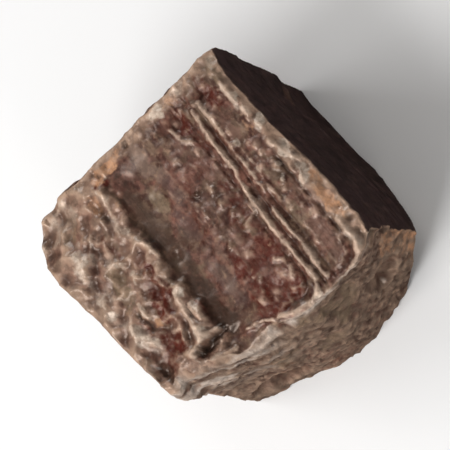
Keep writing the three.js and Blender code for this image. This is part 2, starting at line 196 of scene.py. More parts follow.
# Where each tint lies on the striated face: (x, y, half length, half width, how strong)
tints = {
    "red": [
        (-0.4, -5, 0.6, 0.35, 0.9), (1.2, -5.95, 0.8, 0.35, 1), (3.3, -6.45, 0.8, 0.35, 1),
        (5.6, -2.8, 1, 0.45, 1), (8.05, 1.2, 1.7, 1.7, 1), (8.65, -0.2, 0.9, 0.8, 0.7),
        (5.15, 3.1, 1.5, 0.9, 0.8), (8.95, 2.8, 0.9, 1.1, 0.9), (-6.35, 4.1, 1.3, 0.6, 1),
        (-6.65, 7.1, 1.6, 0.5, 1), (1.75, -5.3, 1, 1, 1), (0.45, -5.2, 0.9, 0.5, 0.7),
        (2.65, -6.1, 1.5, 0.5, 0.9), (4.85, -7.6, 1.3, 1.1, 0.8), (5.45, -6.7, 1.2, 0.7, 0.8),
        (-3.55, 3.1, 1.6, 0.7, 0.5), (5.05, -3.2, 1.6, 0.6, 0.7), (-7.45, -3.5, 0.4, 0.5, 1),
        (7.85, 7, 2.2, 1, 0.2), (1.45, 3.7, 3, 0.6, 0.6), (5.25, 0.6, 1.8, 0.8, 1),
        (-3.35, -6.2, 1.4, 0.5, 0.5), (-2.35, 1.4, 1.6, 0.7, 0.4), (-4.55, 4.4, 1.5, 0.4, 0.5),
        (2.85, -8, 1.2, 0.5, 0.5), (-5.75, 7.7, 1.2, 0.4, 0.6), (5.1, 1.7, 1.4, 0.8, 0.8),
        (0.25, 0.6, 1.5, 0.6, 0.4), (2.45, 2.4, 1.4, 0.5, 0.6), (6.15, -8.4, 1, 0.7, 0.6),
        (-6.45, 5.4, 0.9, 0.4, 0.5),
    ],
    "pale": [
        (-5.6, -8.2, 0.5, 0.4, 0.7), (-2.4, -9.3, 0.7, 0.4, 0.9), (-4.1, -7.9, 0.4, 0.35, 0.8),
        (2.4, 9, 0.5, 0.35, 0.9), (3.6, -8.8, 0.5, 0.4, 0.9), (0.3, -9.3, 0.5, 0.4, 0.9),
        (-0.2, -8.2, 0.4, 0.3, 0.6), (-8.45, 3.1, 0.6, 0.8, 1), (-4.55, -8.7, 0.9, 0.7, 0.75),
        (-3.35, -9.3, 1, 0.5, 0.75), (-1.35, -9.5, 1, 0.4, 0.9), (0.65, -9.5, 1, 0.35, 0.5),
        (3.15, -8.6, 1.3, 0.6, 0.85), (1.75, -9.1, 1, 0.5, 0.8), (6.15, -5.1, 0.6, 0.5, 1),
        (4, -4.25, 0.4, 0.25, 0.9), (4.15, -4.1, 0.7, 0.3, 0.8), (2.65, -4.4, 0.4, 0.6, 1),
        (-4.75, 8.45, 1.6, 0.3, 1), (-2.25, 8.8, 0.6, 0.5, 1), (0.75, 8.9, 1.2, 0.4, 0.9),
        (3.25, 8.6, 0.7, 0.4, 0.9), (9.05, 8.7, 1, 0.3, 0.7), (-8.55, 5.6, 0.6, 0.7, 0.6),
        (-8.35, 8.8, 0.8, 0.6, 0.6), (-0.55, -6.3, 0.7, 0.3, 0.8), (-1.85, -6.5, 0.4, 0.3, 0.8),
        (-2.25, 6.35, 0.35, 0.28, 1), (1.25, 7.75, 0.25, 0.22, 1), (2.15, 7.45, 0.28, 0.25, 1),
        (2.05, -7.3, 0.8, 0.2, 0.9), (-7.35, -9.5, 0.5, 0.6, 0.7), (-2.75, -7, 1, 0.5, 0.6),
        # the pale ovals at (-8.85, -7.8) and (-8, -7.4) are painted light on the lobe's left edge
        (-1.55, -8.6, 1.3, 0.4, 0.7), (4.25, -8.4, 0.8, 0.5, 0.7), (-8.85, -7.8, 0.3, 0.9, 0.8),
        (-8, -7.4, 0.8, 1, 0.5), (10.35, 3.9, 0.5, 0.4, 0.7), (-4.35, -4.7, 1.4, 0.35, 0.6),
        (-6.75, -4.1, 0.8, 0.3, 0.5), (8.1, -5.4, 0.25, 0.7, 0.5),
    ],
    "olive": [
        (0.45, 7, 2.6, 1, 0.4), (-3.45, -1.1, 1.1, 0.8, 0.9), (-1.05, -7.4, 1.6, 0.7, 0.9),
        (0.85, -8, 1.2, 0.7, 0.7), (0.85, -3, 0.8, 0.6, 0.6), (4.45, 6.5, 1.4, 0.6, 0.7),
        (-7.8, -7.4, 1.1, 1.5, 0.3), (2.85, 1.4, 1.4, 0.5, 0.4), (-1.55, -3.7, 1, 0.35, 0.7),
        (-7.75, 8.6, 1.4, 0.6, 0.8), (-3.75, -5.8, 1.3, 0.5, 0.5), (2.65, -2.2, 1.2, 0.5, 0.5),
        (-6.55, -8.4, 0.8, 0.9, 0.5), (-7.55, 6.6, 0.8, 0.8, 0.4), (-4.75, 1.6, 1.2, 0.4, 0.4),
    ],
    "amber": [
        (5.85, 9, 1.8, 0.6, 1), (3.75, 9.1, 1, 0.5, 0.7), (-8.15, -2.4, 0.5, 0.9, 1),
        (-8.15, -3.6, 0.6, 0.6, 0.8), (-8.45, -1.3, 0.4, 0.6, 0.7), (-2.65, 7.8, 0.7, 0.5, 0.35),
        (-8.35, 4.6, 0.5, 0.5, 0.4), (-6.75, -5.2, 1, 0.6, 0.6), (3.25, -7.1, 0.6, 0.4, 0.8),
        (-5.15, -3.7, 0.8, 0.3, 0.4),
    ],
    # dark: painted shade in pits, in the slot beside the star and in the trough, with some of the
    # crystal's own dark colour
    "dark": [
        (-8.25, -0.2, 0.4, 0.35, 0.9), (6.05, -9.1, 1.1, 0.6, 1), (7.2, -4.6, 0.4, 1.5, 0.9),
        (7.9, -4.2, 0.4, 0.9, 0.5), (5.45, -5.75, 0.8, 0.3, 0.9), (-1.6, 1.35, 0.5, 0.45, 0.7),
        (7.05, 2.9, 0.7, 0.3, 0.6), (-6.75, -2.4, 1.2, 0.5, 0.6), (-5.45, -5, 0.9, 0.35, 0.7),
        (-7.35, 7.3, 0.5, 0.4, 0.5), (3.15, 2.3, 1.2, 0.3, 0.5), (6.3, -3.1, 1.6, 0.9, 1),
        (4.3, -3, 2.2, 0.6, 0.9), (2.05, -7.8, 0.9, 0.25, 0.8), (-4.55, -7.3, 1, 0.25, 0.6),
        (1.45, -4.4, 0.5, 0.7, 0.6),
    ],
    # sheen: a lighter painted sheen, mostly on the slope into the trough
    "sheen": [
        (-6.5, 0, 1.5, 0.8, 1), (-4.9, 0.2, 1, 0.6, 0.6), (4.7, -1, 2, 0.6, 0.5),
        (-3.4, -1.1, 1, 0.8, 0.3), (-8.4, 8.4, 1.3, 0.6, 0.8), (-6.9, 8.9, 1.4, 0.35, 0.7),
        (5.4, -2, 1.2, 0.4, 0.3), (8.4, -1.3, 0.6, 0.5, 0.5),
    ],
    "rose": [
        (-3.5, 6.8, 1.6, 0.5, 0.8), (-7.9, -6.2, 0.8, 1, 0.3), (7.3, 7, 2.6, 0.8, 1),
        (-4.6, 3.4, 1.8, 1, 0.7), (-1.5, 3.6, 1.8, 0.6, 0.6), (4.2, 2, 1.6, 0.8, 0.5),
        (-5.6, 6.4, 1.2, 0.5, 0.8), (2.9, 0, 2.2, 0.5, 0.6), (-4.6, -5.6, 1.8, 0.7, 0.6),
        (-6.4, -7, 0.9, 1, 0.3), (4.2, 8.3, 2.6, 0.4, 0.8), (3.6, -7.3, 0.9, 0.5, 0.7),
        (-2.6, -7.9, 1.4, 0.6, 0.7), (0, 1.9, 2, 0.6, 0.5),
    ],
    # the darker purple-grey of the slope's painted sheen
    "mauveSheen": [
        (-6.45, 0, 1.6, 1, 1), (-0.65, -0.6, 2, 0.9, 0.8), (4.65, -1, 2.2, 0.7, 0.9),
        (-3.75, 0.3, 2.3, 0.6, 0.8), (2.05, -1, 1.6, 0.7, 0.6), (-5.15, 2.4, 1.3, 0.6, 0.4),
    ],
}


# 0 at the first value, 1 at the second, eased in between
def rise(start, end, value):
    share = np.clip((value - start) / (end - start), 0, 1)
    return share * share * (3 - 2 * share)


# the value a share of the way from a to b
def mix(a, b, share):
    return a + (b - a) * share


# the height of a broken line over each place along it
def follow(points, along):
    return np.interp(along, [p[0] for p in points], [p[1] for p in points])


# the distance from each place on a face to a broken line on it, the least over its straight pieces
def toLine(path, x, y):
    nearest = np.full(x.shape, np.inf)
    for (ax, ay), (bx, by) in zip(path[:-1], path[1:]):
        dx, dy = bx - ax, by - ay
        share = np.clip(((x - ax) * dx + (y - ay) * dy) / (dx * dx + dy * dy), 0, 1)
        nearest = np.minimum(nearest, np.hypot(x - ax - share * dx, y - ay - share * dy))
    return nearest


# a number from 0 to 1 that belongs to one cell of a grid
def chance(i, j, seed):
    wave = np.sin(i * 12.9898 + j * 78.233 + seed * 37.719) * 43758.5453
    return wave - np.floor(wave)


# smooth noise from -1 to 1: a random height at each grid corner, eased between the four around
def swell(x, y, seed):
    i, j = np.floor(x), np.floor(y)
    easeX, easeY = rise(0, 1, x - i), rise(0, 1, y - j)
    low = mix(chance(i, j, seed), chance(i + 1, j, seed), easeX)
    high = mix(chance(i, j + 1, seed), chance(i + 1, j + 1, seed), easeX)
    return 2 * mix(low, high, easeY) - 1


# the same at three sizes, each half the last
def swells(x, y, seed):
    return (swell(x, y, seed) + 0.5 * swell(2.1 * x, 2.1 * y, seed + 7)
            + 0.25 * swell(4.3 * x, 4.3 * y, seed + 13)) / 1.4


# noise in space: the sum of two slanting sheets of flat noise
def cloud(points, size, seed):
    x, y, z = (points / size).T
    return (swell(x + 0.7 * z, y - 0.5 * z, seed)
            + swell(z + 0.6 * x, 0.8 * y - 0.4 * x, seed + 3)) / 1.4


# the nine cells around each place, and the way to it from the random middle of each, in cells
def cellsAround(x, y, cell, seed):
    column, row = np.floor(x / cell), np.floor(y / cell)
    for stepI in (-1, 0, 1):
        for stepJ in (-1, 0, 1):
            i, j = column + stepI, row + stepJ
            yield i, j, x / cell - i - chance(i, j, seed), y / cell - j - chance(i, j, seed + 1)


# granular relief: each cell of a jittered grid is a small tilted dome, and the highest shows
def grains(x, y, cell, seed, tilt=1.2, bulge=1.0):
    top = np.full(x.shape, -np.inf)
    for i, j, dx, dy in cellsAround(x, y, cell, seed):
        lean = (chance(i, j, seed + 2) - 0.5) * dx + (chance(i, j, seed + 3) - 0.5) * dy
        dome = 0.6 * chance(i, j, seed + 4) + tilt * lean - bulge * (dx * dx + dy * dy)
        top = np.maximum(top, dome)
    return top


# rounded beads: in a share of the cells of a jittered grid, a bell of its own size; 0 to 1
def beads(x, y, cell, seed, share):
    most = np.zeros(x.shape)
    for i, j, dx, dy in cellsAround(x, y, cell, seed):
        size = 0.18 + 0.22 * chance(i, j, seed + 2)
        bell = size / 0.4 * np.exp(-(dx * dx + dy * dy) / size ** 2)
        most = np.maximum(most, np.where(chance(i, j, seed + 3) < share, bell, 0))
    return most


# hackly fracture: scoops that meet in sharp crests, the same grains seen from below
def hackle(x, y, cell, seed):
    return -grains(x, y, cell, seed, 1.6, 0.8)


# places on a face nudged sideways by noise, so that what is drawn there turns irregular
def warped(x, y, amount, cell, seed):
    return (x + amount * swells(x / cell, y / cell, seed),
            y + amount * swells(x / cell, y / cell, seed + 29))


# the same for the striated face and its lumps
def faceWarped(x, y):
    return warped(x, y, striated["warp"], striated["warpCell"], 5)


# where beads stand on the striated face, 0 to 1: thick on its rims and strips, few on the slope
def beadMarks(x, y):
    wx, wy = warped(x, y, 0.12, 0.5, 45)
    thick = 0.07 + 0.11 * rise(3.2, 4.4, y) + 0.22 * rise(8, 8.6, y)
    thick = thick - 0.06 * rise(0.2, -0.6, y) * rise(-3.4, -2.8, y)
    thick = thick + 0.05 * rise(5.5, 7, x) * rise(-0.5, 0.5, y) * rise(3.8, 3.2, y)
    thick = thick - 0.12 * rise(3.5, 5, x) * rise(5.6, 6, y) * rise(8, 7.8, y)
    return np.maximum(beads(wx, wy, 0.8, 47, thick), 0.8 * beads(wy, wx, 0.55, 49, 0.35 * thick))


# lower knobs all over the middle panel, 0 to 1
def knobMarks(x, y):
    wx, wy = warped(x, y, 0.15, 0.6, 55)
    share = 0.5 * rise(-0.4, 0.6, y) * rise(4.4, 4, y) * rise(-6.4, -5.6, x)
    return np.maximum(beads(wx, wy, 0.95, 57, share), 0.7 * beads(wy, wx, 0.6, 59, 0.8 * share))


# the one deep slot beside the star of pale ridges: a bell across its line, narrowing to one end
def slotMark(x, y):
    wx, wy = warped(x, y, 0.15, 0.6, 33)
    narrow = mix(0.5, 1, rise(-3.3, -4.6, y))
    gap = toLine(striated["slot"], wx, wy) / (striated["slotWide"] * narrow)
    return np.exp(-gap ** 2) * narrow


# the lumpy border along the far and back rims of the striated face, 0 to 1
def borderMark(wx, wy):
    return np.maximum(rise(*striated["farBorder"], wy), rise(*striated["backBorder"], wx))


# the narrow forms, each a bell across its line, broken up along it by noise: the sum of the highest
# ridge and the deepest groove at each place, how much painted highlight the crests get, and how
# much painted shade the beds get
def lineMarks(x, y, wx, wy):
    ridge, groove, crest, bed = (np.zeros(x.shape) for mark in range(4))
    uneven = 1 + 0.5 * swell(x / 0.7, y / 0.7, 18) + 0.2 * swell(x / 0.3, y / 0.3, 20)
    thick = 1.15 + 0.35 * swell(x / 1.1, y / 1.1, 22)
    for path, high, wide, tint in striated["lines"]:
        gap = toLine(path, mix(x, wx, 0.5), mix(y, wy, 0.5)) / (wide * thick)
        lift = high * uneven * np.exp(-gap ** 2)
        wider = tint * np.exp(-(gap / 1.25) ** 2)
        if high > 0:
            ridge = np.maximum(ridge, lift)
            crest = np.maximum(crest, wider * uneven)
        else:
            groove = np.minimum(groove, lift)
            bed = np.maximum(bed, wider)
    return ridge + groove, np.clip(crest, 0, 1), bed


# the striated face: the slope into the trough and the rough band past it, less what falls away,
# plus the lumpy border, the panel's fine striae, and the narrow and round forms
def topFace(x, y):
    s = striated
    wx, wy = faceWarped(x, y)
    bandLevel = -s["bandStart"] - s["bandFall"] * (s["troughWall"] - y)
    deep = s["troughDeep"] * mix(s["troughLeast"], 1, rise(*s["troughRunsOut"], x))
    deep = deep * (1 + 0.12 * swell(x / 1.7, 0 * x, 8))
    slope = -deep * rise(s["troughTop"], s["troughFoot"], wy)
    wall = wy + 0.25 * swell(x / 1.1, 0 * x, 9) + 0.1 * swell(x / 0.45, y / 0.45, 10)
    z = np.where(wy > s["troughFloor"], slope,
                 mix(bandLevel, -deep, rise(s["troughWall"], s["troughFloor"], wall)))
    lumps = (s["bandLump"] * hackle(wx, wy, s["bandCell"], 3)
             + 0.12 * (grains(wx, wy, 0.6, 17) - 0.3) + 0.16 * swells(x / 1.6, y / 1.3, 19) + 0.02)
    z = z + rise(s["troughFloor"], s["troughFloor"] - 0.8, wall) * lumps
    z = z - s["lobeDrop"] * rise(*s["lobeX"], x) * rise(*s["lobeY"], y)
    z = z - s["backRimDrop"] * rise(*s["backRim"], wx) - s["farRimDrop"] * rise(*s["farRim"], y)
    z = z - s["notchDrop"] * rise(*s["notchX"], x) * rise(*s["notchY"], y)
    border = borderMark(wx, wy)
    z = z + border * s["borderLump"] * grains(wx, wy, 0.75, 37)
    strand = swell(x / 2.6, y / 0.16, 12) + 0.6 * swell(x / 1.1, y / 0.33, 14)
    panel = rise(-0.5, 1, y) * (1 - border)
    z = z + panel * (0.03 * strand + 0.035 * swells(wx / 0.9, wy / 0.5, 15)
                     + 0.03 * hackle(wx, wy, 0.7, 23))
    z = z + 0.02 * swells(wx / 0.7, wy / 0.5, 16)
    z = z + s["beadHigh"] * beadMarks(x, y) + s["knobHigh"] * knobMarks(x, y)
    z = z + lineMarks(x, y, wx, wy)[0]
    for cx, cy, high, radius in s["rounds"]:
        z = z + high * np.exp(-((wx - cx) ** 2 + (wy - cy) ** 2) / radius ** 2)
    return z - s["slotDeep"] * slotMark(x, y)


# the rough end that shows: from its outline at the top to the one at the base in ledges, plus the
# nose, a saw-tooth of small slanting ledges, grain lower down and knobs all over
def endFace(y, z):
    e = roughEnd
    wy, wz = warped(y, z, 0.35, 1.3, 61)
    out = 0
    for (start, end, share), down in zip(e["ledges"], (wz, wz, z)):
        out = out + share * rise(start, end, down)
    nose = e["noseOut"] * np.exp(-((z - e["noseZ"]) / e["noseReach"]) ** 2) * rise(*e["noseY"], y)
    tooth = -(z + e["toothLean"] * y + 0.35 * swells(y / 2.2, z / 1.6, 62)) / e["toothApart"]
    tooth = tooth - np.floor(tooth)
    ledges = e["toothHigh"] * np.minimum(tooth / 0.25, (1 - tooth) / 0.75)
    ledges = ledges * rise(1, -2.5, y) * rise(-0.1, 0.4, swell(y / 2.5, z / 1.1, 64))
    ledges = ledges * rise(-0.2, -0.6, z)
    grain = (e["grainHigh"] * grains(wy, wz, 1.7, 21, 0.8)
             + e["fineGrainHigh"] * grains(wy, wz, 0.7, 25, 0.6)) * rise(-0.4, -2.2, z) - 0.1
    knobs = (e["knobHigh"] * beads(wy, wz, 0.65, 27, 0.6)
             + e["fineKnobHigh"] * beads(wz, wy, 0.4, 28, 0.5))
    return (mix(follow(block["endAtTop"], y), follow(block["endAtBase"], y), out) + nose
            + ledges + grain + knobs + 0.035 * swells(y / 0.45, z / 0.45, 63))


# the broken end behind: a plane that slants in under a step across it, less two sizes of hackle
def backFace(y, z):
    e = brokenEnd
    wy, wz = warped(y, z, 0.3, 1.5, 71)
    step = e["stepHigh"] * rise(-0.4, 0.4, wz - e["stepZ"] + e["stepLean"] * wy)
    slant = e["slant"] * rise(e["slantFrom"], -block["depth"], z)
    return (block["rimX"][0] + slant - step * rise(0, -3, z)
            - e["hackleHigh"] * hackle(wy, wz, 2.2, 31)
            - e["fineHackleHigh"] * hackle(wy, wz, 0.8, 35))


# the sum of a prism face's growth steps, each leaning along it and fading to its last height
def growthSteps(steps, x, z):
    total = 0
    for start, end, lean, high, last in steps:
        height = mix(high, last, rise(*growth["furtherAlong"], x))
        total = total + height * rise(start, end, z + lean * x)
    return total


# the smooth dark prism face: its outline, a belly, growth steps along it, and fine strands
def farFace(x, z):
    wx, wz = warped(x, z, 0.15, 1.2, 81)
    strand = 0.03 * swell(x / 3, z / 0.25, 42) + 0.02 * swell(x / 1.2, z / 0.5, 43)
    return (follow(block["farAtTop"], x) + 0.25 * rise(0, -3, z) - growthSteps(growth["far"], x, wz)
            + strand + 0.1 * grains(wx * 0.3, wz, 1.1, 41) - 0.05)


# the opposite prism face: its outline, its own growth steps, strands and drawn-out grains
def nearFace(x, z):
    wx, wz = warped(x, z, 0.2, 1.2, 91)
    strand = 0.035 * swell(x / 3, z / 0.25, 52) + 0.03 * swell(x / 1.2, z / 0.5, 53)
    return (follow(block["nearAtTop"], x) + growthSteps(growth["near"], x, wz) - strand
            - 0.2 * grains(wx * 0.35, wz, 1.3, 51) + 0.05)


# a lattice line stays put in the core, and past it stretches so that the rim lands on the face
def stretch(line, core, rim, low, high):
    above = core[1] + (line - core[1]) * (high - core[1]) / (rim[1] - core[1])
    below = core[0] + (line - core[0]) * (low - core[0]) / (rim[0] - core[0])
    return np.where(line > core[1], above, np.where(line < core[0], below, line))


# each lattice point's place, stretched by turns along the three axes
def settle(lineX, lineY, lineZ):
    b = block
    x, y, z = lineX, lineY, lineZ
    for turn in range(b["settleTurns"]):
        z = stretch(lineZ, b["coreZ"], b["rimZ"], -b["depth"], topFace(x, y))
        x = stretch(lineX, b["coreX"], b["rimX"], backFace(y, z), endFace(y, z))
        y = stretch(lineY, b["coreY"], b["rimY"], nearFace(x, z), farFace(x, z))
    z = np.where(lineZ == b["rimZ"][1], topFace(x, y), z)
    return np.stack([x, y, z], axis=1)


# everything beyond the plane through three points is shaved back to it, along its normal
def shave(points, corners):
    a, b, c = (np.array(corner, float) for corner in corners)
    normal = np.cross(b - a, c - a)
    normal /= np.linalg.norm(normal)
    if normal @ (np.array([0, 0, -block["depth"] / 2]) - a) > 0:
        normal = -normal
    over = np.maximum((points - a) @ normal, 0)
    return points - over[:, None] * normal


# a point inside the uneven ball slides along the bite's direction to the ball's far side, and rings
# spread over it from its upper edge, as on broken glass. Also how far each point slid
def bite(points, middle, radius, into):
    way = np.array(into, float) / np.linalg.norm(into)
    gap = points - np.array(middle, float)
    uneven = 1 + broken["ballUneven"] * cloud(points, 2.2, 141) + 0.04 * cloud(points, 0.9, 143)
    inside = (radius * uneven) ** 2 - (gap ** 2).sum(axis=1)
    along = gap @ way
    slide = np.where(inside > 0, np.sqrt(along ** 2 + np.maximum(inside, 0)) - along, 0)
    rings = np.linalg.norm(gap + slide[:, None] * way - np.array([0, 0, radius]), axis=1)
    wave = np.sin(rings * 2 * np.pi / broken["rippleApart"] + 2 * cloud(points, 1.5, 145))
    ripple = broken["rippleHigh"] * wave * rise(0.1, 0.4, slide)
    return points + (slide + ripple)[:, None] * way, slide


# the lattice's six outer sides as one closed skin: point numbers on a box of lines, four to a face
def latticeSkin():
    linesX = np.linspace(*block["rimX"], block["countX"] + 1)
    linesZ = np.linspace(*block["rimZ"], block["countZ"] + 1)
    rows = [np.linspace(a, b, n, endpoint=False) for a, b, n in block["rowBands"]]
    linesY = np.append(np.concatenate(rows), block["rimY"][1])
    outer = np.ones((len(linesX), len(linesY), len(linesZ)), bool)
    outer[1:-1, 1:-1, 1:-1] = False
    number = np.full(outer.shape, -1)
    number[outer] = np.arange(outer.sum())
    i, j, k = np.nonzero(outer)

    def side(sheet, outward):
        ring = [sheet[:-1, :-1], sheet[1:, :-1], sheet[1:, 1:], sheet[:-1, 1:]]
        return np.stack([r.ravel() for r in (ring if outward else ring[::-1])], axis=1)

    quads = np.concatenate([
        side(number[:, :, -1], True), side(number[:, :, 0], False),
        side(number[-1], True), side(number[0], False),
        side(number[:, 0], True), side(number[:, -1], False),
    ])
    return linesX[i], linesY[j], linesZ[k], quads


# the points moved towards the mean of their neighbours, half way, a number of times
def softened(points, quads, times):
    a = quads.ravel()
    b = np.roll(quads, -1, axis=1).ravel()
    count = np.bincount(a, minlength=len(points))
    columns = []
    for values in points.T:
        for turn in range(times):
            total = (np.bincount(a, values[b], len(points))
                     + np.bincount(b, values[a], len(points)))
            values = 0.5 * values + 0.25 * total / count
        columns.append(values)
    return np.stack(columns, axis=1)


# each point's outward direction: the sum of its quads' crossed diagonals, made one long
def outward(points, quads):
    across = points[quads[:, 2]] - points[quads[:, 0]]
    other = points[quads[:, 3]] - points[quads[:, 1]]
    faces = np.cross(across, other)
    corners = quads.ravel()
    total = np.stack([np.bincount(corners, np.repeat(faces[:, k], 4), len(points))
                      for k in range(3)], 1)
    return total / np.linalg.norm(total, axis=1, keepdims=True)


# how much of a tint each place has: 1 inside an oval, 0 well outside it, with a ragged border
def tinted(ovals, x, y):
    wx, wy = warped(x, y, 0.35, 0.7, 101)
    amount = np.zeros(x.shape)
    for cx, cy, halfX, halfY, strong in ovals:
        reach = np.hypot((wx - cx) / halfX, (wy - cy) / halfY)
        amount = np.maximum(amount, strong * rise(1.35, 0.55, reach))
    return amount


# masks that the material reads, a number for each point: the tints, each part of the surface by
# where it lies and faces, and how far it lies under its own softened shape, or over it, below 0
def surfaceMasks(points, quads):
    x, y, z = points.T
    smooth, broad = softened(points, quads, 12), softened(points, quads, 70)
    facing = outward(softened(points, quads, 2), quads)
    # steep walls inside the striated face belong to it
    inner = (rise(-0.4, -0.8, x - follow(block["endAtTop"], y)) * rise(-2.2, -1.8, z)
             * rise(-8.9, -8.5, x) * rise(-10.3, -9.9, y) * rise(9.3, 8.9, y))
    lobe = rise(-6.6, -7.6, x) * rise(-6, -7.5, y) * rise(-5, -3, z)
    upward = np.maximum(rise(0.4, 0.65, facing[:, 2]), inner)
    top = np.maximum(upward, lobe)
    other = 1 - top
    far = rise(0.72, 0.9, facing[:, 1])
    end = rise(0.4, 0.7, facing[:, 0]) * (1 - inner)
    rest = other * (1 - 0.6 * end)
    masks = {name: tinted(ovals, x, y) * top for name, ovals in tints.items()}

    def add(name, amount):
        masks[name] = np.maximum(masks[name], amount)

    streaks = rise(-0.15, 0.25, swell(y / 2.4, (z + 0.28 * y) / 0.55, 66))
    streaks = streaks * rise(0, -5, y) * rise(-9, -4, z)
    lip = rise(-1.5, -0.4, z - topFace(x, y)) * rise(-0.7, 0.1, swell(y / 1.3, z / 0.8, 67))
    masks["ledge"] = end * np.maximum(streaks, lip)
    masks["speck"] = end * np.maximum(beads(y, z, 0.6, 68, 0.5), beads(z, y, 0.42, 69, 0.5))
    add("red", 0.8 * rise(0.25, 0.7, cloud(points, 2.6, 111)) * rest)
    grit = cloud(points, 1.9, 115) + 0.6 * cloud(points, 0.7, 116)
    add("pale", 0.45 * rise(0.5, 1.1, grit) * rest * (1 - far))
    # pale over the rounded lobe: painted light
    add("pale", 0.75 * lobe * rise(-0.3, 0.4, cloud(points, 1.1, 117)))
    add("olive", 0.8 * rise(0.2, 0.7, cloud(points, 2.1, 119)) * other)
    add("amber", 0.6 * end * rise(6.5, 9.2, y) * rise(-3, -6, z))
    add("amber", 0.4 * rise(0.6, 1, cloud(points, 0.9, 123)) * rest)
    wx, wy = faceWarped(x, y)
    crest, bed = lineMarks(x, y, wx, wy)[1:]
    # where the trough's painted shade, over its own dark colour, goes
    trough = rise(-1.7, -2.6, wy) * rise(-3.95, -3.45, wy) * rise(-6.6, -5.6, x) * rise(8, 7, x)
    under = ((smooth - points) * outward(points, quads)).sum(axis=1)
    masks.update(
        # the crests' painted highlight, and painted shade in the groove beds and in the slot
        crest=crest * upward, bed=np.maximum(bed * upward, 2 * slotMark(x, y) * inner),
        knob=knobMarks(x, y) * top, bead=beadMarks(x, y) * top,
        rim=np.maximum(borderMark(wx, wy) * top, lobe), far=far, end=end,
        band=rise(-3.4, -4.2, wy) * top,
        trough=trough * (1 - 0.35 * swell(wx / 1.2, wy / 0.6, 113)) * top,
        # hollow and low: the material paints shade in hollows and low places, and light on bulges
        # and high places
        hollow=np.clip(under / 0.08, -1, 1),
        low=np.clip(((broad - smooth) * facing).sum(axis=1) / 0.16, -1, 1))
    return masks


# an object of the scene, unturned at its origin
def addObject(name, data):
    made = bpy.data.objects.new(name, data)
    bpy.context.scene.collection.objects.link(made)
    return made


# a mesh from points in metres and each face's four point numbers
def meshFrom(name, points, quads):
    mesh = bpy.data.meshes.new(name)
    mesh.vertices.add(len(points))
    mesh.vertices.foreach_set("co", np.ascontiguousarray(points, np.float32).ravel())
    mesh.loops.add(quads.size)
    mesh.loops.foreach_set("vertex_index", quads.ravel().astype(np.int32))
    mesh.polygons.add(len(quads))
    mesh.polygons.foreach_set("loop_start", np.arange(0, quads.size, 4, dtype=np.int32))
    mesh.polygons.foreach_set("loop_total", np.full(len(quads), 4, np.int32))
    mesh.update(calc_edges=True)
    mesh.validate()
    return mesh


# the lattice settled on the six faces, less its breaks and scoops, with fine grit along its normals
def makeCrystal():
    lineX, lineY, lineZ, quads = latticeSkin()
    points = settle(lineX, lineY, lineZ)
    print("lattice settled")
    for corners in broken["breaks"]:
        points = shave(points, corners)
    fresh = np.zeros(len(points))
    for middle, radius, into in broken["scoops"]:
        points, slide = bite(points, middle, radius, into)
        fresh = np.maximum(fresh, rise(0.02, 0.3, slide))
    grit = (broken["gritHigh"] * cloud(points, 0.6, 131)
            + broken["dustHigh"] * cloud(points, 0.3, 135))
    points = points + grit[:, None] * outward(points, quads)
    points[:, 2] = np.maximum(points[:, 2], -block["depth"])
    masks = surfaceMasks(points, quads)
    masks["fresh"] = fresh
    mesh = meshFrom("zirconCrystal", (points + np.array(block["toOrigin"])) * mm, quads)
    for name, values in masks.items():
        attribute = mesh.attributes.new(name, "FLOAT", "POINT")
        attribute.data.foreach_set("value", values.astype(np.float32))
    print("crystal:", len(points), "points,", len(quads) * 2, "triangles")
    return addObject("zirconCrystal", mesh)


